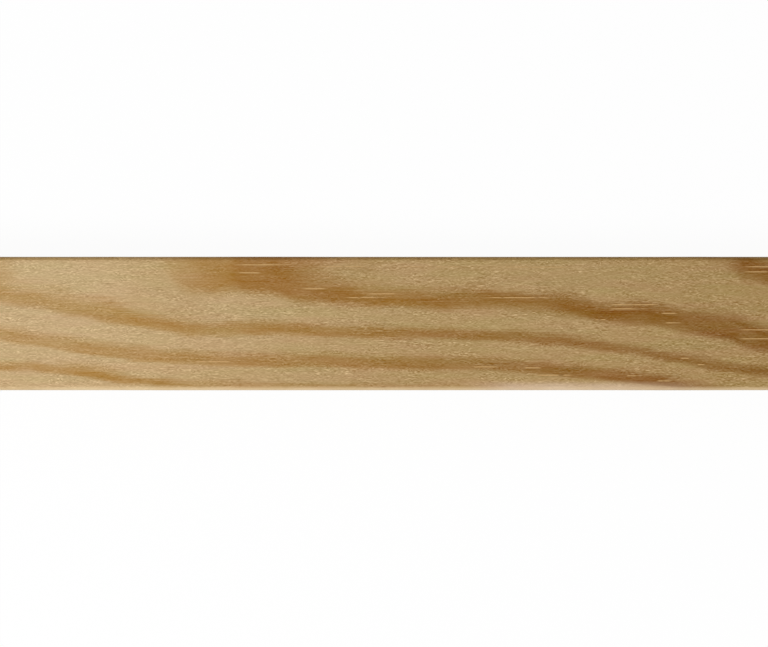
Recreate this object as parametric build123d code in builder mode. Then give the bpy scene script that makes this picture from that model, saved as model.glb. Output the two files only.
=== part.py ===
"""A dressed pine slat, one of the strips that an acoustic slat panel is made of.

The slat lies on its back on the ground plane. X runs along it, Y across its face and Z up through
its thickness. The origin is under its middle, at the centre of the back.
"""

import os

from build123d import *

# Driving dimensions, in millimetres
slat_length = 600.0  # between the two saw cuts
slat_width = 42.0  # across the show face
slat_thickness = 19.0  # from the back to the show face
face_arris_radius = 1.5  # the round on the two long edges of the show face
back_arris_radius = 1.0  # the round on the two long edges of the back
end_arris_bevel = 0.4  # the sanded bevel round each saw-cut end

with BuildPart() as slat:
    # The planed section, drawn across the slat with its back on the ground
    with BuildSketch(Plane.YZ) as section:
        Rectangle(slat_width, slat_thickness, align=(Align.CENTER, Align.MIN))
        fillet(section.vertices().group_by(Axis.Y)[-1], face_arris_radius)
        fillet(section.vertices().group_by(Axis.Y)[0], back_arris_radius)

    # The planed length, half of it each way from the middle
    extrude(amount=slat_length / 2, both=True)

    # The two saw cuts, with the sharp edge sanded off all the way round
    saw_cuts = slat.faces().filter_by(Axis.X)
    chamfer(saw_cuts.edges(), end_arris_bevel)

slat.part.label = "slat"

os.makedirs("parts", exist_ok=True)
export_step(slat.part, "parts/slat.step")
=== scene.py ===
"""Looks of a planed pine slat: its raised grain, its wood, the studio round it and the camera.

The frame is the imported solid's own. X runs along the slat and its grain, Y across the show face and
Z up through the thickness. Meshes are in metres. The wood is described in millimetres, as a joiner
would measure it.
"""

import logging
import math
from dataclasses import dataclass
from enum import Enum
from typing import Any, ClassVar, Optional, Union

import bmesh
import bpy
import numpy as np
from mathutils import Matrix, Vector

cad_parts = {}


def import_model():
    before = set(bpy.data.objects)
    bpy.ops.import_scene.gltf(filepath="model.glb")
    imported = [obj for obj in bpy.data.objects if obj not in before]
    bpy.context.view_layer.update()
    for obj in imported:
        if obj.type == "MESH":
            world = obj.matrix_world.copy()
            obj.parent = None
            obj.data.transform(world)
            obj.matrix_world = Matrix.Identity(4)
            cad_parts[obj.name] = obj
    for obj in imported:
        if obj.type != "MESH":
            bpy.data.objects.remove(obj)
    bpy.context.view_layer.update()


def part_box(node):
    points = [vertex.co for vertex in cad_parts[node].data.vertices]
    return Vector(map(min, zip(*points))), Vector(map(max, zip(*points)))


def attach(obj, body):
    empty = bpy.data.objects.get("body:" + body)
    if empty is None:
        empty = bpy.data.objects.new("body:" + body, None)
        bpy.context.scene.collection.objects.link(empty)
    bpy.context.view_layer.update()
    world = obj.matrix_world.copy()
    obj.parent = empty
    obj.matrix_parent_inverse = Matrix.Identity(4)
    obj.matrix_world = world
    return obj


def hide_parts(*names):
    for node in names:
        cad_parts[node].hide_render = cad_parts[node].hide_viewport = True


LOG = logging.getLogger("pine_slat")

MM = 0.001
SLAT_NODE = "slat"
SLAT_BODY = "root"

Measure = Union["Term", np.ndarray, float]
Place = tuple[Measure, Measure, Measure]
Facing = tuple["Term", "Term", "Term"]
Span = tuple[float, float]
Colour = tuple[float, float, float, float]
Shade = Union[tuple[float, ...], bpy.types.NodeSocket]

WHITE: Colour = (1.0, 1.0, 1.0, 1.0)
NOISE_MIDDLE = 0.5


class Maths(Enum):
    """The Math node operations that shader expressions use."""

    ADD = "ADD"
    SUBTRACT = "SUBTRACT"
    MULTIPLY = "MULTIPLY"
    DIVIDE = "DIVIDE"
    ABSOLUTE = "ABSOLUTE"
    ROOT = "SQRT"
    SINE = "SINE"
    ANGLE = "ARCTAN2"


class Term:
    """One value of a shader: a socket that Python's arithmetic works on."""

    def __init__(self, sheet: "FinishSheet", socket: bpy.types.NodeSocket) -> None:
        """Keeps the socket and the sheet that its node is on."""
        self.sheet = sheet
        self.socket = socket

    def __add__(self, other: Measure) -> "Term":
        """self + other, as a node."""
        return self.sheet.maths(Maths.ADD, self, other)

    def __radd__(self, other: Measure) -> "Term":
        """other + self, as a node."""
        return self.sheet.maths(Maths.ADD, other, self)

    def __sub__(self, other: Measure) -> "Term":
        """self - other, as a node."""
        return self.sheet.maths(Maths.SUBTRACT, self, other)

    def __rsub__(self, other: Measure) -> "Term":
        """other - self, as a node."""
        return self.sheet.maths(Maths.SUBTRACT, other, self)

    def __mul__(self, other: Measure) -> "Term":
        """self * other, as a node."""
        return self.sheet.maths(Maths.MULTIPLY, self, other)

    def __rmul__(self, other: Measure) -> "Term":
        """other * self, as a node."""
        return self.sheet.maths(Maths.MULTIPLY, other, self)

    def __truediv__(self, other: Measure) -> "Term":
        """self / other, as a node."""
        return self.sheet.maths(Maths.DIVIDE, self, other)

    def __rtruediv__(self, other: Measure) -> "Term":
        """other / self, as a node."""
        return self.sheet.maths(Maths.DIVIDE, other, self)

    def __abs__(self) -> "Term":
        """The value without its sign, as a node."""
        return self.sheet.maths(Maths.ABSOLUTE, self)


class FinishSheet:
    """The node tree of one finish, with one way to add any node to it."""

    def __init__(self, tree: bpy.types.NodeTree) -> None:
        """Takes over a node tree and empties it."""
        self.tree = tree
        self.tree.nodes.clear()

    def node(
        self,
        kind: str,
        settings: Optional[dict[str, Any]] = None,
        sockets: Optional[dict[Union[str, int], Any]] = None,
    ) -> bpy.types.Node:
        """Adds a node, sets it up and feeds its sockets.

        Args:
            kind: The node's type, such as ShaderNodeMath.
            settings: The node's own properties, set before any socket.
            sockets: A value, a Term or an output socket for each input, by name, identifier or number.

        Returns:
            The new node.
        """
        made = self.tree.nodes.new(kind)
        for name, value in (settings or {}).items():
            setattr(made, name, value)
        for key, value in (sockets or {}).items():
            if isinstance(key, int):
                entry = made.inputs[key]
            else:
                entry = next(s for s in made.inputs if key in (s.identifier, s.name))
            source = value.socket if isinstance(value, Term) else value
            if isinstance(source, bpy.types.NodeSocket):
                self.tree.links.new(source, entry)
            else:
                entry.default_value = source
        return made

    def maths(self, operation: Maths, *values: Measure) -> Term:
        """Adds a Math node for one or two values and returns its result."""
        made = self.node("ShaderNodeMath", {"operation": operation.value}, dict(enumerate(values)))
        return Term(self, made.outputs[0])

    def rise(self, value: Term, low: float, high: float) -> Term:
        """Adds a smooth step.

        Args:
            value: The value that the step follows.
            low: Where the step is 0.
            high: Where the step is 1.

        Returns:
            The step.
        """
        sockets = {"Value": value, "From Min": low, "From Max": high}
        made = self.node("ShaderNodeMapRange", {"interpolation_type": "SMOOTHSTEP"}, sockets)
        return Term(self, made.outputs[0])

    def noise(self, place: Place, detail: float, roughness: float) -> Term:
        """Adds a noise of about 0 to 1 whose lumps are one unit long at a place.

        Args:
            place: The three coordinates, each already divided by the lumps' length in its direction.
            detail: How many finer noises are added to the first.
            roughness: How strong the finer ones are.

        Returns:
            The noise, around 0.5.
        """
        vector = self.node("ShaderNodeCombineXYZ", {}, dict(zip("XYZ", place)))
        sockets = {"Vector": vector.outputs[0], "Scale": 1.0, "Detail": detail, "Roughness": roughness}
        made = self.node("ShaderNodeTexNoise", {"noise_dimensions": "3D"}, sockets)
        return Term(self, made.outputs[0])

    def blend(self, share: Measure, first: Shade, second: Shade) -> bpy.types.NodeSocket:
        """Adds a mix of two colours.

        Args:
            share: How much of the second colour, from 0 to 1 and a little past either.
            first: A colour or its socket.
            second: A colour or its socket.

        Returns:
            The mixed colour.
        """
        sockets = {"Factor_Float": share, "A_Color": first, "B_Color": second}
        made = self.node("ShaderNodeMix", {"data_type": "RGBA", "clamp_factor": False}, sockets)
        return made.outputs[2]

    def tinted(self, colour: bpy.types.NodeSocket, tint: Colour, share: Term) -> bpy.types.NodeSocket:
        """Adds a colour seen through a tint.

        Args:
            colour: The colour's socket.
            tint: The tint that multiplies it.
            share: How far the tint counts, from 0 to 1.

        Returns:
            The tinted colour.
        """
        sockets = {"Factor_Float": share, "A_Color": colour, "B_Color": tint}
        made = self.node("ShaderNodeMix", {"data_type": "RGBA", "blend_type": "MULTIPLY"}, sockets)
        return made.outputs[2]

    def scaled(self, colour: Shade, factor: Term) -> bpy.types.NodeSocket:
        """Adds a colour made lighter or darker by a factor."""
        sockets = {"Vector": colour, "Scale": factor}
        return self.node("ShaderNodeVectorMath", {"operation": "SCALE"}, sockets).outputs[0]

    def tinged(self, colour: bpy.types.NodeSocket, tinge: Colour, amount: Term) -> bpy.types.NodeSocket:
        """Adds a colour with an amount of another added to it, or taken away below 0."""
        sockets = {0: colour, 1: self.scaled(tinge[:3], amount)}
        return self.node("ShaderNodeVectorMath", {"operation": "ADD"}, sockets).outputs[0]


def rise(value: Measure, low: float, high: float) -> Measure:
    """Goes from 0 at low to 1 at high, with no corner at either end.

    Args:
        value: A shader value, an array or a number.
        low: Where the step starts.
        high: Where the step ends.

    Returns:
        The step, of the same kind as value.
    """
    if isinstance(value, Term):
        return value.sheet.rise(value, low, high)
    share = np.clip((value - low) / (high - low), 0.0, 1.0)
    return share * share * (3.0 - 2.0 * share)


def root(value: Measure) -> Measure:
    """The square root of a shader value, an array or a number."""
    return value.sheet.maths(Maths.ROOT, value) if isinstance(value, Term) else np.sqrt(value)


def sine(value: Measure) -> Measure:
    """The sine of a shader value, an array or a number."""
    return value.sheet.maths(Maths.SINE, value) if isinstance(value, Term) else np.sin(value)


def square(value: Measure) -> Measure:
    """The value times itself."""
    return value * value


def between(first: float, second: float, share: Measure) -> Measure:
    """A value on the way from a first one, at share 0, to a second one, at share 1."""
    return first + share * (second - first)


def paint(red: int, green: int, blue: int) -> Colour:
    """Turns a colour as a screen shows it into the linear colour that a shader takes.

    Args:
        red: The red level, 0 to 255.
        green: The green level.
        blue: The blue level.

    Returns:
        The linear colour, opaque.
    """
    shares = [level / 255.0 for level in (red, green, blue)]
    # The standard curve of a screen: straight near black and a power above that.
    linear = [s / 12.92 if s <= 0.04045 else ((s + 0.055) / 1.055) ** 2.4 for s in shares]
    return (linear[0], linear[1], linear[2], 1.0)


@dataclass(frozen=True)
class Stretch:
    """A stretch along the slat: it sets in from start to full_from and ends from full_to to end.

    BEYOND_END is a place past both ends of the slat, for a stretch that runs out over one of them.
    """

    BEYOND_END: ClassVar[float] = 310.0
    FADING: ClassVar[float] = 10.0

    start: float
    full_from: float
    full_to: float
    end: float

    @classmethod
    def up_to(cls, full_to: float, end: float) -> "Stretch":
        """A stretch that comes in from beyond the slat's left end."""
        return cls(-cls.BEYOND_END - cls.FADING, -cls.BEYOND_END, full_to, end)

    @classmethod
    def onward(cls, start: float, full_from: float) -> "Stretch":
        """A stretch that runs on beyond the slat's right end."""
        return cls(start, full_from, cls.BEYOND_END, cls.BEYOND_END + cls.FADING)

    def share(self, along: Measure) -> Measure:
        """How far a place is inside the stretch, from 0 outside to 1."""
        return rise(along, self.start, self.full_from) * (1.0 - rise(along, self.full_to, self.end))


@dataclass(frozen=True)
class GrowthRing:
    """A band of one year: pale spring wood, then dark summer wood up to a sharp edge.

    edge is the radius of the sharp edge, darkens how far inside it the wood starts to turn, dark how
    far inside it has its full colour and fades how far inside it turns pale again. depth is how dark
    it gets, up to 1. A band that doesn't run the whole length of the slat has its stretch. A year
    whose summer wood is uneven along the slat is several bands, one over the other.
    """

    edge: float
    darkens: float
    dark: float
    fades: float = 0.85
    depth: float = 0.9
    stretch: Optional[Stretch] = None

    def summer_wood(self, radius: Measure, along: Measure) -> Measure:
        """How much of this band's summer wood is at a radius.

        Args:
            radius: The distance from the pith, in millimetres.
            along: The place along the slat.

        Returns:
            The share of summer wood, from 0 to the band's depth.
        """
        turning = rise(radius, self.edge - self.darkens, self.edge - self.dark)
        ended = rise(radius, self.edge - self.fades, self.edge)
        band = turning * (1.0 - ended) * self.depth
        return band * self.stretch.share(along) if self.stretch else band


@dataclass(frozen=True)
class GrainBend:
    """A stretch of the slat where the rings sweep across it, by an amount of squared radius."""

    start: float
    end: float
    amount: float


@dataclass(frozen=True)
class Swelling:
    """A stretch where the inner rings stand back from the outer ones, by an amount of squared radius."""

    stretch: Stretch
    amount: float


@dataclass(frozen=True)
class ResinCanal:
    """A resin canal that the plane cut open: a fine line on the show face, as pale as its strength.

    It fades towards both ends, and full_share is the middle share of its length that doesn't.
    """

    start: float
    end: float
    across: float
    strength: float = 1.0
    full_share: float = 0.5

    def openness(self, along: Measure, across: Measure, width: float) -> Measure:
        """How far a place on the show face is inside the canal.

        Args:
            along: The place along the slat, in millimetres.
            across: The place across the show face.
            width: How far to either side the canal reaches.

        Returns:
            The share of canal, from 0 to its strength.
        """
        reach = (self.end - self.start) / 2
        beside = abs(across - self.across)
        beyond = abs(along - (self.start + self.end) / 2)
        return rise(beside, width, 0.0) * rise(beyond, reach, reach * self.full_share) * self.strength


@dataclass(frozen=True)
class Ripple:
    """A slow wave in the rings: its height and its wave lengths along and across, in millimetres.

    A wave length below 0 slants the wave the other way, and phase shifts it.
    """

    height: float
    along: float
    across: float
    phase: float


@dataclass(frozen=True)
class Stem:
    """The tree that the slat was sawn from: its growth rings, and how they run through the slat.

    Places are in millimetres from the middle of the slat's back. canals are the resin canals that the
    plane cut open on the middle stretch of the show face. pith_across and pith_up are the tree's
    middle line. The rings taper along the slat by taper, in squared millimetres for each millimetre,
    sweep at the bends and stand back at the swellings, which end between the radii of swelling_reach.
    """

    pith_across: float = 41.0
    pith_up: float = -61.0
    taper: float = 2.1
    bends: tuple[GrainBend, ...] = (
        GrainBend(-132.0, -58.0, 640.0),
        GrainBend(36.0, 84.0, 340.0),
        GrainBend(70.0, 125.0, 680.0),
    )
    swellings: tuple[Swelling, ...] = (
        Swelling(Stretch.up_to(-81.0, -58.0), 680.0),
        Swelling(Stretch(-68.0, -60.0, -56.0, -50.0), -40.0),
        Swelling(Stretch(-55.0, -46.0, -39.0, -17.0), 200.0),
        Swelling(Stretch(-20.0, -2.0, 14.0, 36.0), -113.0),
        Swelling(Stretch(42.0, 54.0, 59.0, 68.0), 105.0),
        Swelling(Stretch(66.0, 84.0, 106.0, 120.0), 200.0),
    )
    swelling_reach: Span = (79.4, 88.7)
    ripples: tuple[Ripple, ...] = (
        Ripple(0.10, 46.0, 31.0, 0.4),
        Ripple(0.08, 23.0, -17.0, 2.1),
        Ripple(0.05, 11.0, 13.0, 4.0),
    )
    rings: tuple[GrowthRing, ...] = (
        # The inner years, low on the far side and towards the right end.
        GrowthRing(48.1, 3.4, 1.4),
        GrowthRing(55.6, 3.7, 1.5),
        GrowthRing(64.1, 4.2, 1.7),
        # The year that comes up at the far edge, right of the middle.
        GrowthRing(73.2, 3.8, 1.6, 0.9, 1.0, Stretch.up_to(92.0, 106.0)),
        GrowthRing(74.2, 4.2, 1.8, 0.9, 0.6, Stretch(106.0, 112.5, 112.5, 117.0)),
        GrowthRing(73.4, 4.2, 1.8, 0.9, 0.92, Stretch.onward(109.0, 115.0)),
        GrowthRing(74.2, 3.5, 2.0, 1.8, 0.3, Stretch(88.0, 106.0, 109.0, 114.0)),
        # The broad year across the face, with its brown patch left of the middle.
        GrowthRing(84.2, 3.9, 1.9, 0.9, 0.9, Stretch.up_to(-92.0, -78.0)),
        GrowthRing(84.2, 3.1, 1.7, 1.6, 1.0, Stretch(-60.0, -38.0, 74.0, 96.0)),
        GrowthRing(84.0, 4.4, 1.9, 1.5, 0.7, Stretch(-56.0, -36.0, 22.0, 38.0)),
        GrowthRing(83.9, 3.0, 1.7, 0.9, 0.5, Stretch(14.0, 28.0, 58.0, 72.0)),
        GrowthRing(84.7, 2.2, 1.0, 0.9, 0.4, Stretch(40.0, 48.0, 56.0, 66.0)),
        GrowthRing(84.1, 4.0, 2.3, 0.9, 0.7, Stretch.onward(48.0, 64.0)),
        GrowthRing(83.6, 9.0, 4.4, 2.0, 0.82, Stretch(-80.0, -54.0, -38.0, -12.0)),
        GrowthRing(83.6, 9.0, 4.4, 1.6, 0.84, Stretch(-50.0, -45.0, -38.0, -12.0)),
        GrowthRing(87.0, 5.5, 3.6, 3.2, 0.14, Stretch(-92.0, -72.0, -62.0, -50.0)),
        GrowthRing(82.6, 9.0, 4.4, 2.0, 0.17, Stretch(-30.0, -18.0, -6.0, 6.0)),
        GrowthRing(83.9, 3.8, 2.4, 1.2, 0.55, Stretch(74.0, 84.0, 98.0, 110.0)),
        GrowthRing(83.7, 5.6, 3.0, 1.2, 0.68, Stretch.onward(90.0, 106.0)),
        GrowthRing(83.7, 5.8, 2.8, 1.2, 0.7, Stretch.onward(106.0, 111.0)),
        # The three narrow years on its near side.
        GrowthRing(88.2, 4.6, 1.6, 1.0, 0.35, Stretch.up_to(-121.0, -114.0)),
        GrowthRing(88.7, 2.4, 1.2, 1.0, 0.62, Stretch.up_to(-100.0, -80.0)),
        GrowthRing(88.6, 4.0, 2.0, 1.6, 0.25, Stretch(-84.0, -72.0, -62.0, -50.0)),
        GrowthRing(88.9, 2.8, 1.3, 1.0, 0.7, Stretch.onward(-106.0, -82.0)),
        GrowthRing(88.9, 2.7, 1.3, 1.0, 0.42, Stretch(-106.0, -82.0, 40.0, 80.0)),
        GrowthRing(88.9, 2.9, 1.3, 1.0, 0.45, Stretch.onward(88.0, 104.0)),
        GrowthRing(89.3, 1.4, 0.8, 0.6, 0.4, Stretch(-68.0, -60.0, -52.0, -42.0)),
        GrowthRing(94.2, 3.7, 1.5, 0.85, 0.58),
        GrowthRing(94.2, 3.4, 1.5, 0.85, 0.38, Stretch.onward(-112.0, -92.0)),
        GrowthRing(94.2, 3.2, 1.4, 0.85, 0.5, Stretch.onward(48.0, 78.0)),
        GrowthRing(94.5, 2.0, 1.0, 0.7, 0.5, Stretch(36.0, 42.0, 48.0, 56.0)),
        GrowthRing(98.9, 2.4, 1.2, 0.85, 0.8, Stretch.up_to(-118.0, -108.0)),
        GrowthRing(98.5, 2.4, 1.2, 0.85, 0.8, Stretch(-118.0, -108.0, -72.0, -36.0)),
        GrowthRing(98.3, 3.6, 1.8, 0.85, 0.5, Stretch(-106.0, -97.0, -86.0, -78.0)),
        GrowthRing(98.7, 2.6, 1.3, 0.85, 0.5, Stretch.onward(-72.0, -36.0)),
        # The outermost year, on the near edge of the left end.
        GrowthRing(104.4, 2.7, 1.3),
    )
    canals: tuple[ResinCanal, ...] = (
        ResinCanal(-47.7, -29.5, 18.4),
        ResinCanal(-46.4, -38.3, 15.9),
        ResinCanal(-60.2, -46.7, -12.0),
        ResinCanal(-26.3, -17.6, 10.9),
        ResinCanal(-13.2, 1.9, 8.1),
        ResinCanal(-6.3, 5.0, 9.3),
        ResinCanal(-24.0, -3.0, 17.9, 0.5),
        ResinCanal(2.0, 27.0, 17.8, 0.4),
        ResinCanal(34.0, 62.0, 17.7, 0.5),
        ResinCanal(30.1, 54.0, 8.1),
        ResinCanal(69.6, 88.1, 5.9),
        ResinCanal(69.6, 83.4, 4.6),
        ResinCanal(65.9, 70.0, 1.2),
        ResinCanal(86.6, 92.2, 3.2),
        ResinCanal(87.8, 93.5, 0.2),
        ResinCanal(110.7, 126.0, -2.0),
        ResinCanal(110.7, 123.0, -4.8),
        ResinCanal(111.7, 131.0, 17.8),
        ResinCanal(112.0, 124.0, 16.2),
        ResinCanal(92.8, 96.0, -10.9),
        ResinCanal(98.2, 100.7, -12.9),
        ResinCanal(27.0, 36.4, -13.6),
        ResinCanal(43.0, 49.9, -13.9),
        ResinCanal(46.7, 60.2, -16.2),
        ResinCanal(75.9, 79.4, -16.4),
        ResinCanal(85.3, 90.3, -18.0),
    )

    def radius(self, along: Measure, across: Measure, up: Measure) -> Measure:
        """The distance from the pith, as the rings count it.

        Args:
            along: The place along the slat, in millimetres.
            across: The place across the show face.
            up: The height over the slat's back.

        Returns:
            The radius in millimetres, with the taper, the bends, the swellings and the ripples in it.
        """
        field = square(across - self.pith_across) + square(up - self.pith_up) - along * self.taper
        for bend in self.bends:
            field = field - rise(along, bend.start, bend.end) * bend.amount
        inner, outer = self.swelling_reach
        inside = 1.0 - rise(field, inner * inner, outer * outer)
        for swelling in self.swellings:
            field = field + swelling.stretch.share(along) * inside * swelling.amount
        radius = root(field)
        for ripple in self.ripples:
            turn = along * (math.tau / ripple.along) + across * (math.tau / ripple.across) + ripple.phase
            radius = radius + sine(turn) * ripple.height
        return radius

    def summer_wood(self, radius: Measure, along: Measure) -> Measure:
        """How much summer wood is at a radius, from 0 in spring wood to about 1.

        Args:
            radius: The distance from the pith, in millimetres.
            along: The place along the slat.

        Returns:
            The share of summer wood of all the rings together.
        """
        spring = 1.0
        for ring in self.rings:
            spring = spring * (1.0 - ring.summer_wood(radius, along))
        return 1.0 - spring

    def open_canals(self, along: Measure, across: Measure, width: float) -> Measure:
        """How far a place on the show face is inside an open resin canal, from 0 to 1.

        Args:
            along: The place along the slat, in millimetres.
            across: The place across the show face.
            width: How far to either side a canal reaches.

        Returns:
            The share of canal.
        """
        solid = 1.0
        for canal in self.canals:
            solid = solid * (1.0 - canal.openness(along, across, width))
        return 1.0 - solid


@dataclass(frozen=True)
class Lumps:
    """A noise in the wood whose lumps lie along the grain, with their sizes in millimetres."""

    length: float
    thickness: float
    detail: float = 1.0
    roughness: float = 0.5

    def at(self, sheet: FinishSheet, place: Place) -> Term:
        """The noise at a place, around 0.

        Args:
            sheet: The sheet to add the nodes to.
            place: The place along, across and up, in millimetres.

        Returns:
            The noise, mostly between -0.3 and 0.3.
        """
        along, across, up = place
        shares = (along / self.length, across / self.thickness, up / self.thickness)
        return sheet.noise(shares, self.detail, self.roughness) - NOISE_MIDDLE


@dataclass(frozen=True)
class ToneStep:
    """A stretch over which the wood turns from its left tone towards its right one, by a share."""

    start: float
    end: float
    share: float


@dataclass(frozen=True)
class InWood:
    """A value that spring wood and summer wood each have their own of."""

    spring: float
    summer: float

    def at(self, summer: Term) -> Term:
        """The value where the wood holds this share of summer wood."""
        return between(self.spring, self.summer, summer)


@dataclass(frozen=True)
class Flecks:
    """Short fine lines that sway with the grain and come in clusters.

    Each line is pale and has a painted shade line at shade_gap beside it, as a raised fibre lit from one
    side would show. crest makes the palest ones stand out.
    sparse and dense are their strengths between the clusters and in them.
    """

    sway: Lumps = Lumps(5.0, 2.2)
    dashes: Lumps = Lumps(1.05, 0.155, 0.0)
    threads: Lumps = Lumps(4.0, 0.155, 0.0)
    clusters: Lumps = Lumps(12.0, 4.0)
    sway_width: float = 1.6
    shade_gap: float = 0.58
    dash_light: float = 0.8
    dash_shade: float = 0.4
    thread_light: float = 0.7
    thread_shade: float = 0.3
    crest: float = 0.8
    cluster_span: Span = (-0.14, 0.14)
    sparse: float = 0.7
    dense: float = 1.3
    depth: float = 1.1

    def at(self, sheet: FinishSheet, place: Place) -> Term:
        """The flecks at a place.

        Args:
            sheet: The wood's sheet.
            place: The place along, across and up, in millimetres.

        Returns:
            How much paler, or darker below 0, the wood is there.
        """
        along, across, up = place
        sway = self.sway.at(sheet, place) * self.sway_width
        swayed = (along, across + sway, up + sway)
        beside = (along, across + sway + self.shade_gap, up + sway)
        line = self.dashes.at(sheet, swayed) * self.dash_light
        line = line + self.threads.at(sheet, swayed) * self.thread_light
        # Painted shade: a darker copy of each line at shade_gap beside it.
        line = line - self.dashes.at(sheet, beside) * self.dash_shade
        line = line - self.threads.at(sheet, beside) * self.thread_shade
        clustered = sheet.rise(self.clusters.at(sheet, place), *self.cluster_span)
        return line * (1.0 + line * self.crest) * between(self.sparse, self.dense, clustered) * self.depth


@dataclass(frozen=True)
class OpenCanals:
    """The resin canals that the plane cut open: pale broken lines with a rim of painted shade round them.

    On the known stretch of the show face they are the stem's own. Elsewhere they are strewn over the
    summer wood.
    """

    colour: Colour = paint(208, 168, 112)
    width: float = 0.25
    rim_width: float = 0.65
    rim_shade: float = 0.14
    face_level: Span = (18.0, 18.6)
    known_stretch: Stretch = Stretch(-126.0, -121.0, 121.0, 126.0)
    breaks: Lumps = Lumps(3.0, 0.7)
    break_span: Span = (-0.26, -0.04)
    strays: Lumps = Lumps(9.0, 0.3, 0.0)
    stray_span: Span = (0.21, 0.28)
    stray_strength: float = 0.8

    def drawn(
        self, sheet: FinishSheet, stem: Stem, place: Place, summer: Term, wood: bpy.types.NodeSocket
    ) -> bpy.types.NodeSocket:
        """Draws the canals on the wood.

        Args:
            sheet: The wood's sheet.
            stem: The tree, for its canals.
            place: The place along, across and up, in millimetres.
            summer: The share of summer wood.
            wood: The colour of the wood.

        Returns:
            The colour with the canals in it.
        """
        along, across, up = place
        on_face = sheet.rise(up, *self.face_level)
        whole = sheet.rise(self.breaks.at(sheet, place), *self.break_span) * on_face
        canals = stem.open_canals(along, across, self.width) * whole
        # Painted shade: a darker rim round each canal, as its open groove would cast.
        rims = stem.open_canals(along, across, self.rim_width) * on_face
        elsewhere = 1.0 - self.known_stretch.share(along) * on_face
        strays = sheet.rise(self.strays.at(sheet, place), *self.stray_span) * summer * elsewhere
        rimmed = sheet.scaled(wood, 1.0 - rims * self.rim_shade)
        return sheet.blend(canals + strays * self.stray_strength, rimmed, self.colour)


@dataclass(frozen=True)
class PaintedEdgeLight:
    """The long edges, with light painted on them: a painted highlight along the near one and painted shade
    along the far one.

    A span is where the highlight and the shade each set in and where they are full, across or up in
    millimetres. A pair of shares gives their strength between the patches and in them. The near highlight
    is weaker on one given stretch and wider and whiter on another, and the far shade is lighter on a
    third. round_span is how far the surface turns on a rounded edge.
    """

    near_highlight: Colour = paint(230, 205, 164)
    wide_highlight: Colour = paint(228, 203, 178)
    far_shade_tint: Colour = (0.82, 0.75, 0.58, 1.0)
    upper_span: Span = (16.6, 18.0)
    patches: Lumps = Lumps(12.0, 4.0)
    patch_span: Span = (-0.1, 0.2)
    near_span: Span = (-19.4, -20.7)
    near_shares: Span = (0.6, 0.74)
    weak_highlight: Stretch = Stretch(-150.0, -124.0, -116.0, -92.0)
    weak_highlight_loss: float = 0.5
    wide_highlight_stretch: Stretch = Stretch(22.0, 42.0, 74.0, 106.0)
    wide_highlight_span: Span = (-17.6, -19.8)
    wide_highlight_shares: Span = (0.36, 0.5)
    wide_highlight_loss: float = 0.25
    round_span: Span = (0.3, 0.95)
    far_half: Span = (0.0, 10.0)
    far_shade_rim: Span = (18.5, 20.3)
    far_shade_rim_depth: float = 0.25
    far_less_shaded: Stretch = Stretch(-92.0, -76.0, -48.0, -34.0)
    far_less_shaded_loss: float = 0.5

    def drawn(
        self, sheet: FinishSheet, place: Place, facing: Facing, wood: bpy.types.NodeSocket
    ) -> bpy.types.NodeSocket:
        """Paints a highlight on the near edge and shade on the far edge.

        Args:
            sheet: The wood's sheet.
            place: The place along, across and up, in millimetres.
            facing: The direction that the surface faces.
            wood: The colour of the wood.

        Returns:
            The colour with the painted highlight and the painted shade in it.
        """
        along, across, up = place
        upper = sheet.rise(up, *self.upper_span)
        patches = sheet.rise(self.patches.at(sheet, place), *self.patch_span)
        wide_lit = self.wide_highlight_stretch.share(along)
        lost = self.weak_highlight.share(along) * self.weak_highlight_loss + wide_lit * self.wide_highlight_loss
        near = sheet.rise(across, *self.near_span) * (1.0 - lost)
        # Painted highlight: the near edge is made paler, as where the light catches its round.
        paler = sheet.blend(near * between(*self.near_shares, patches) * upper, wood, self.near_highlight)
        # A wider, whiter painted highlight on one stretch of the near edge.
        wide = sheet.rise(across, *self.wide_highlight_span) * wide_lit
        paler = sheet.blend(wide * between(*self.wide_highlight_shares, patches) * upper, paler, self.wide_highlight)

        # Painted shade: the far round and a rim beside it are darkened, as where the surface turns away
        # from the light.
        # The product of the two directions is 0 on a flat face and a half in the middle of a round.
        on_round = sheet.rise(abs(facing[1] * facing[2]) * 2.0, *self.round_span)
        rim = sheet.rise(across, *self.far_shade_rim) * upper * self.far_shade_rim_depth
        far = on_round * sheet.rise(across, *self.far_half) + rim
        darkened = far * (1.0 - self.far_less_shaded.share(along) * self.far_less_shaded_loss)
        return sheet.tinted(paler, self.far_shade_tint, darkened)


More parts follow.
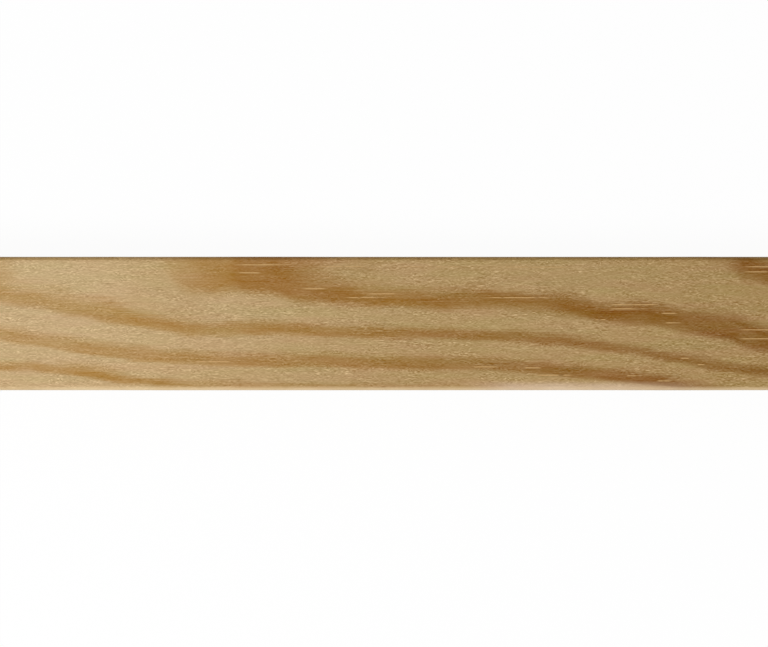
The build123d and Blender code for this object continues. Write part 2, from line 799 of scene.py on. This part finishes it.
@dataclass(frozen=True)
class SawnEnds:
    """The cut ends: darker and duller wood, with the tree's rays and the arcs of a round saw blade.

    saw_centre is the blade's axis, across and up, and saw_pitch the distance from arc to arc, in
    millimetres. A fleck of a ray is as wide as its lumps say at ray_radius from the pith.
    """

    tint: Colour = (0.76, 0.68, 0.57, 1.0)
    facing_span: Span = (0.55, 0.85)
    roughness: float = 0.75
    rays: Lumps = Lumps(3.5, 0.22)
    ray_radius: float = 90.0
    ray_drift: float = 0.01
    ray_shade: float = 0.5
    saw_centre: tuple[float, float] = (70.0, 120.0)
    saw_pitch: float = 1.3
    saw_patches: Lumps = Lumps(12.0, 4.0)
    saw_depth: float = 0.5
    saw_swing: float = 2.0
    saw_shade: float = 0.08

    def share(self, sheet: FinishSheet, facing: Facing) -> Term:
        """1 where the surface faces along the slat and 0 elsewhere."""
        return sheet.rise(abs(facing[0]), *self.facing_span)

    def saw_arcs(self, sheet: FinishSheet, place: Place) -> Term:
        """The fine arcs that the blade left.

        Args:
            sheet: The wood's sheet.
            place: The place along, across and up, in millimetres.

        Returns:
            The height of the arcs, around 0.
        """
        _, across, up = place
        middle_across, middle_up = self.saw_centre
        reach = root(square(across - middle_across) + square(up - middle_up))
        depth = self.saw_depth + self.saw_patches.at(sheet, place) * self.saw_swing
        return sine(reach * (math.tau / self.saw_pitch)) * depth

    def drawn(
        self,
        sheet: FinishSheet,
        stem: Stem,
        place: Place,
        end: Term,
        arcs: Term,
        wood: bpy.types.NodeSocket,
    ) -> bpy.types.NodeSocket:
        """Darkens the cut ends and draws their rays and saw arcs.

        Args:
            sheet: The wood's sheet.
            stem: The tree, for its middle line.
            place: The place along, across and up, in millimetres.
            end: 1 on a cut end and 0 elsewhere.
            arcs: The height of the saw's arcs.
            wood: The colour of the wood.

        Returns:
            The colour with the ends in it.
        """
        along, across, up = place
        aside = across - stem.pith_across
        over = up - stem.pith_up
        outward = root(square(aside) + square(over))
        around = sheet.maths(Maths.ANGLE, over, aside) * self.ray_radius
        rays = self.rays.at(sheet, (outward, around, along * self.ray_drift))
        tinted = sheet.tinted(wood, self.tint, end)
        return sheet.scaled(tinted, 1.0 + (rays * self.ray_shade + arcs * self.saw_shade) * end)


@dataclass(frozen=True)
class PineFinish:
    """Clear-finished pine: pale spring wood, amber summer wood, open resin canals and end grain.

    The wood is paler at its left end than at its right one, so each colour has two shades: this is partly
    the wood's own tone and partly a painted fall-off of the light from the left. A noise that is laid out
    along the rings also changes slowly across the slat, by ring_drift.
    """

    spring_left: Colour = paint(194, 166, 122)
    spring_right: Colour = paint(168, 137, 88)
    summer_left: Colour = paint(168, 126, 62)
    summer_right: Colour = paint(132, 88, 29)
    spring_tones: tuple[ToneStep, ...] = (ToneStep(-112.0, 28.0, 0.76), ToneStep(40.0, 130.0, 0.24))
    summer_tones: tuple[ToneStep, ...] = (ToneStep(-120.0, 120.0, 1.0),)
    tone_drift: float = 60.0
    clouds: Lumps = Lumps(40.0, 9.0)
    cloud_shade: float = 0.12
    fibres: Lumps = Lumps(14.0, 0.3, 2.0, 0.6)
    fibre_streaks: InWood = InWood(0.2, 0.6)
    raggedness: float = 1.2
    ring_drift: float = 0.05
    layers: Lumps = Lumps(40.0, 0.5, 1.0, 0.5)
    layer_streaks: InWood = InWood(0.1, 0.46)
    streak_shade: float = -0.2
    density: Lumps = Lumps(15.0, 2.4)
    density_swing: float = 0.7
    rosy_shift: Colour = (0.045, -0.024, 0.016, 1.0)
    hues: Lumps = Lumps(20.0, 2.6)
    hue_strength: InWood = InWood(1.0, 0.45)
    warm_tint: Colour = (0.985, 0.96, 0.935, 1.0)
    warm_side: Span = (0.0, -19.0)
    resin_tint: Colour = (0.92, 0.86, 0.84, 1.0)
    resin_soaked: Stretch = Stretch(-50.0, -44.0, -22.0, 4.0)
    resin_side: Span = (4.0, 8.0)
    fleck_colour: Colour = paint(172, 156, 127)
    fleck_strength: InWood = InWood(1.0, 0.4)
    calm_side: Span = (30.0, 90.0)
    calm_loss: float = 0.14
    roughness: InWood = InWood(0.52, 0.44)
    fleck_roughness: float = 0.1
    specular: float = 0.14
    relief_height: float = 0.05 * MM
    fibre_relief: float = 0.4
    saw_relief: float = 0.6
    flecks: Flecks = Flecks()
    canals: OpenCanals = OpenCanals()
    edges: PaintedEdgeLight = PaintedEdgeLight()
    ends: SawnEnds = SawnEnds()

    def material(self, stem: Stem) -> bpy.types.Material:
        """Makes the wood of the slat.

        Args:
            stem: The tree, for its rings.

        Returns:
            The material, which reads the slat's own Object coordinates.
        """
        made = bpy.data.materials.new("clear_finished_pine")
        made.use_nodes = True
        sheet = FinishSheet(made.node_tree)
        source = sheet.node("ShaderNodeTexCoord")
        split = sheet.node("ShaderNodeSeparateXYZ", {}, {0: source.outputs["Object"]})
        along, across, up = (Term(sheet, out) * (1.0 / MM) for out in split.outputs)
        place = (along, across, up)
        turned = sheet.node("ShaderNodeSeparateXYZ", {}, {0: source.outputs["Normal"]})
        facing = tuple(Term(sheet, out) for out in turned.outputs)

        fibres = self.fibres.at(sheet, place)
        radius = stem.radius(*place) + fibres * self.raggedness
        in_ring = (along, radius, across * self.ring_drift)
        density = self.density.at(sheet, in_ring)
        summer = stem.summer_wood(radius, along) * (1.0 + density * self.density_swing)
        layers = self.layers.at(sheet, in_ring)
        streaks = fibres * self.fibre_streaks.at(summer) + layers * self.layer_streaks.at(summer)
        flecks = self.flecks.at(sheet, place)
        end = self.ends.share(sheet, facing)
        arcs = self.ends.saw_arcs(sheet, place)

        wood = self._plain_wood(sheet, place, summer, streaks)
        calm = 1.0 - sheet.rise(along, *self.calm_side) * self.calm_loss
        wood = sheet.tinged(wood, self.fleck_colour, flecks * self.fleck_strength.at(summer) * calm)
        wood = self.canals.drawn(sheet, stem, place, summer, wood)
        # Painted highlight on the near edge and painted shade on the far edge.
        wood = self.edges.drawn(sheet, place, facing, wood)
        colour = self.ends.drawn(sheet, stem, place, end, arcs, wood)

        gloss = self.roughness.at(summer)
        roughness = gloss + end * (self.ends.roughness - gloss) + flecks * self.fleck_roughness
        relief = flecks + fibres * self.fibre_relief + arcs * end * self.saw_relief
        sockets = {"Strength": 1.0, "Distance": self.relief_height, "Height": relief}
        bump = sheet.node("ShaderNodeBump", {}, sockets)

        sockets = {
            "Base Color": colour,
            "Roughness": roughness,
            "Specular IOR Level": self.specular,
            "Normal": bump.outputs[0],
        }
        shader = sheet.node("ShaderNodeBsdfPrincipled", {}, sockets)
        sheet.node("ShaderNodeOutputMaterial", {}, {"Surface": shader.outputs[0]})
        return made

    def _plain_wood(
        self, sheet: FinishSheet, place: Place, summer: Term, streaks: Term
    ) -> bpy.types.NodeSocket:
        """Colours the wood by its rings, its place and its resin.

        Args:
            sheet: The wood's sheet.
            place: The place along, across and up, in millimetres.
            summer: The share of summer wood.
            streaks: How much darker the fibres and thin layers make it, around 0.

        Returns:
            The colour, before flecks, canals and wear.
        """
        along, across, _ = place
        clouds = self.clouds.at(sheet, place)
        drifted = along + clouds * self.tone_drift
        # Left to right the wood darkens, partly by its own tone and partly by painted light fall-off.
        spring = sheet.blend(self._tone(drifted, self.spring_tones), self.spring_left, self.spring_right)
        dark = sheet.blend(self._tone(drifted, self.summer_tones), self.summer_left, self.summer_right)
        wood = sheet.blend(summer + streaks, spring, dark)
        wood = sheet.scaled(wood, 1.0 + streaks * self.streak_shade + clouds * self.cloud_shade)
        hues = self.hues.at(sheet, place)
        wood = sheet.tinged(wood, self.rosy_shift, hues * self.hue_strength.at(summer))
        wood = sheet.tinted(wood, self.warm_tint, sheet.rise(across, *self.warm_side))
        soaked = summer * self.resin_soaked.share(along) * sheet.rise(across, *self.resin_side)
        return sheet.tinted(wood, self.resin_tint, soaked)

    def _tone(self, along: Term, steps: tuple[ToneStep, ...]) -> Term:
        """How far the wood has turned from its left tone to its right one, from 0 to 1."""
        turned = [rise(along, step.start, step.end) * step.share for step in steps]
        return sum(turned[1:], turned[0])


@dataclass
class PlanedSlat:
    """The slat itself: a planed strip with rounded long edges and its summer wood a little raised.

    Sizes are in metres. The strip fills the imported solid's box, and its spring wood lies lower than
    its summer wood by grain_relief. How far a normal points along the slat tells its saw cuts, past
    cut_facing, from its long sides, under side_facing.
    """

    low: Vector
    high: Vector
    face_arris: float = 1.5 * MM
    back_arris: float = 1.0 * MM
    end_bevel: float = 0.4 * MM
    arris_segments: int = 6
    bevel_segments: int = 2
    length_step: float = 2.5 * MM
    face_step: float = 0.5 * MM
    grain_relief: float = 0.04 * MM
    cut_facing: float = 0.99
    side_facing: float = 0.3

    def build(self, stem: Stem) -> bpy.types.Object:
        """Models the slat and links it to the scene.

        Args:
            stem: The tree, for the grain that stands proud.

        Returns:
            The slat's object, at the origin.
        """
        strip = bmesh.new()
        bmesh.ops.create_cube(strip, size=1.0)
        bmesh.ops.scale(strip, vec=self.high - self.low, verts=strip.verts)
        bmesh.ops.translate(strip, vec=(self.low + self.high) / 2, verts=strip.verts)
        self._round_long_edges(strip)
        self._bevel_ends(strip)
        self._divide(strip)
        self._raise_grain(strip, stem)
        self._shade(strip)
        mesh = bpy.data.meshes.new("planed_slat")
        strip.to_mesh(mesh)
        strip.free()
        piece = bpy.data.objects.new("planed_slat", mesh)
        bpy.context.scene.collection.objects.link(piece)
        return piece

    def dress(self, piece: bpy.types.Object, wood: bpy.types.Material) -> None:
        """Gives the slat its wood and ties it to the frame.

        Args:
            piece: The slat's object.
            wood: The pine material.
        """
        piece.data.materials.append(wood)
        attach(piece, SLAT_BODY)
        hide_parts(SLAT_NODE)

    def _bevel(
        self, strip: bmesh.types.BMesh, edges: list[bmesh.types.BMEdge], offset: float, segments: int
    ) -> None:
        """Rounds some edges of the strip.

        Args:
            strip: The slat's mesh.
            edges: The edges to round.
            offset: How far the round reaches into each face.
            segments: How many facets it has.
        """
        bmesh.ops.bevel(
            strip,
            geom=edges,
            offset=offset,
            segments=segments,
            profile=0.5,
            affect="EDGES",
            material=-1,
        )

    def _round_long_edges(self, strip: bmesh.types.BMesh) -> None:
        """Rounds the two long edges of the face and the two of the back.

        Args:
            strip: The slat's mesh.
        """
        middle = (self.low.z + self.high.z) / 2
        long_edges = [e for e in strip.edges if abs(e.verts[0].co.x - e.verts[1].co.x) > MM]
        for over, radius in ((True, self.face_arris), (False, self.back_arris)):
            edges = [e for e in long_edges if e.is_valid and (e.verts[0].co.z > middle) == over]
            self._bevel(strip, edges, radius, self.arris_segments)

    def _bevel_ends(self, strip: bmesh.types.BMesh) -> None:
        """Takes the sharp edge off all round both saw cuts."""
        edges = [e for e in strip.edges if any(abs(f.normal.x) > self.cut_facing for f in e.link_faces)]
        self._bevel(strip, edges, self.end_bevel, self.bevel_segments)

    def _divide(self, strip: bmesh.types.BMesh) -> None:
        """Divides the long faces finely enough to carry the raised grain.

        Args:
            strip: The slat's mesh.
        """
        size = self.high - self.low
        for axis, step in enumerate((self.length_step, self.face_step, self.face_step)):
            length = size[axis]
            edges = [e for e in strip.edges if abs(e.verts[0].co[axis] - e.verts[1].co[axis]) > length / 2]
            bmesh.ops.subdivide_edges(strip, edges=edges, cuts=int(length / step) - 1, use_grid_fill=True)

    def _raise_grain(self, strip: bmesh.types.BMesh, stem: Stem) -> None:
        """Lowers the spring wood, so that the summer wood stands proud as on a planed softwood.

        Args:
            strip: The slat's mesh.
            stem: The tree, for its rings.
        """
        strip.normal_update()
        sides = [v for v in strip.verts if abs(v.normal.x) < self.side_facing]
        along, across, up = np.array([v.co for v in sides]).T / MM
        summer = stem.summer_wood(stem.radius(along, across, up), along)
        for vertex, share in zip(sides, np.clip(summer, 0.0, 1.0)):
            vertex.co -= vertex.normal * (self.grain_relief * float(1.0 - share))

    def _shade(self, strip: bmesh.types.BMesh) -> None:
        """Shades the long faces smoothly and keeps the saw cuts flat.

        Args:
            strip: The slat's mesh.
        """
        for face in strip.faces:
            face.smooth = abs(face.normal.x) < self.cut_facing
            if not face.smooth:
                for edge in face.edges:
                    edge.smooth = False


@dataclass(frozen=True)
class SoftLamp:
    """A round soft box that points at the slat: where it hangs, its width and its power in watts."""

    name: str
    place: tuple[float, float, float]
    width: float
    power: float

    def hang(self) -> None:
        """Hangs the lamp, pointing at the middle of the slat."""
        light = bpy.data.lights.new(self.name, "AREA")
        light.shape = "DISK"
        light.size = self.width
        light.energy = self.power
        lamp = bpy.data.objects.new(self.name, light)
        lamp.location = self.place
        lamp.rotation_euler = (-Vector(self.place)).to_track_quat("-Z", "Y").to_euler()
        bpy.context.scene.collection.objects.link(lamp)


@dataclass(frozen=True)
class Studio:
    """The white floor, the soft light and the camera straight over the slat's face.

    Lengths are in metres. Near the slat the floor shows white by shown_white, so that a trace of the
    slat's shadow stays, and over shadow_reach it turns all white.
    """

    floor_reach: float = 8.0
    floor_drop: float = 0.1 * MM
    floor_white: Colour = (0.9, 0.9, 0.9, 1.0)
    floor_bounce: Colour = (0.6, 0.6, 0.6, 1.0)
    shown_white: float = 0.95
    shadow_reach: Span = (0.4, 1.6)
    room_light: float = 0.45
    lamps: tuple[SoftLamp, ...] = (
        SoftLamp("key_lamp", (-0.48, -0.40, 0.85), 0.5, 6.7),
        SoftLamp("end_lamp", (0.95, -0.15, 0.55), 0.5, 1.5),
    )
    lens: float = 100.0
    sensor: float = 36.0
    photo_width_px: float = 768.0
    photo_px_per_mm: float = 3.188

    def build(self, face_height: float) -> None:
        """Sets up the floor, the light and the camera.

        Args:
            face_height: The height of the slat's face, in metres.
        """
        self._lay_floor()
        self._light_room()
        for lamp in self.lamps:
            lamp.hang()
        self._set_camera(face_height)
        bpy.context.scene.view_settings.view_transform = "Standard"

    def _seen(self, sheet: FinishSheet) -> Term:
        """Tells the rays that show a surface from those that only light others.

        Args:
            sheet: The sheet to add the nodes to.

        Returns:
            1 for a ray from the camera, straight, mirrored or through glass, and 0 for a lighting ray.
        """
        path = sheet.node("ShaderNodeLightPath")
        rays = ("Is Camera Ray", "Is Glossy Ray", "Is Transmission Ray")
        camera, glossy, clear = (Term(sheet, path.outputs[name]) for name in rays)
        return sheet.rise(camera + glossy + clear, 0.0, 1.0)

    def _lay_floor(self) -> None:
        """Lays the white floor just under the slat."""
        plane = bmesh.new()
        bmesh.ops.create_grid(plane, x_segments=1, y_segments=1, size=self.floor_reach)
        bmesh.ops.translate(plane, vec=(0.0, 0.0, -self.floor_drop), verts=plane.verts)
        mesh = bpy.data.meshes.new("floor")
        plane.to_mesh(mesh)
        plane.free()
        mesh.materials.append(self._white_finish())
        floor = bpy.data.objects.new("floor", mesh)
        bpy.context.scene.collection.objects.link(floor)

    def _white_finish(self) -> bpy.types.Material:
        """Makes the floor's finish, which shows white and keeps a trace of the slat's shadow.

        Returns:
            The material.
        """
        made = bpy.data.materials.new("white_floor")
        made.use_nodes = True
        sheet = FinishSheet(made.node_tree)
        seen = self._seen(sheet)
        colour = sheet.blend(seen, self.floor_bounce, self.floor_white)
        matt = sheet.node("ShaderNodeBsdfDiffuse", {}, {"Color": colour})
        white = sheet.node("ShaderNodeEmission", {}, {"Strength": 1.0})
        source = sheet.node("ShaderNodeTexCoord")
        spot = sheet.node("ShaderNodeVectorMath", {"operation": "LENGTH"}, {0: source.outputs["Object"]})
        away = sheet.rise(Term(sheet, spot.outputs["Value"]), *self.shadow_reach)
        share = seen * between(self.shown_white, 1.0, away)
        sockets = {0: share, 1: matt.outputs[0], 2: white.outputs[0]}
        mixed = sheet.node("ShaderNodeMixShader", {}, sockets)
        sheet.node("ShaderNodeOutputMaterial", {}, {"Surface": mixed.outputs[0]})
        return made

    def _light_room(self) -> None:
        """Fills the room with even light, and shows it white behind the floor."""
        world = bpy.data.worlds.new("studio_room")
        world.use_nodes = True
        bpy.context.scene.world = world
        sheet = FinishSheet(world.node_tree)
        light = sheet.node("ShaderNodeBackground", {}, {"Color": WHITE, "Strength": self.room_light})
        white = sheet.node("ShaderNodeBackground", {}, {"Color": WHITE, "Strength": 1.0})
        sockets = {0: self._seen(sheet), 1: light.outputs[0], 2: white.outputs[0]}
        mixed = sheet.node("ShaderNodeMixShader", {}, sockets)
        sheet.node("ShaderNodeOutputWorld", {}, {"Surface": mixed.outputs[0]})

    def _set_camera(self, face_height: float) -> None:
        """Hangs the camera straight over the slat, as far up as the photo's scale asks.

        Args:
            face_height: The height of the slat's face, in metres.
        """
        seen_width = self.photo_width_px / self.photo_px_per_mm * MM
        data = bpy.data.cameras.new("camera")
        data.lens = self.lens
        data.sensor_width = self.sensor
        camera = bpy.data.objects.new("camera", data)
        camera.location = (0.0, 0.0, face_height + seen_width * self.lens / self.sensor)
        bpy.context.scene.collection.objects.link(camera)
        bpy.context.scene.camera = camera


def main() -> None:
    """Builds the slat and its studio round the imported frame."""
    logging.basicConfig(level=logging.INFO, format="%(name)s: %(message)s")
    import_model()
    low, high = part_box(SLAT_NODE)
    stem = Stem()

    slat = PlanedSlat(low, high)
    piece = slat.build(stem)
    slat.dress(piece, PineFinish().material(stem))
    LOG.info("%s has %d faces", piece.name, len(piece.data.polygons))

    Studio().build(high.z)
    LOG.info("floor, lamps and camera are set")


if __name__ == "__main__":
    main()
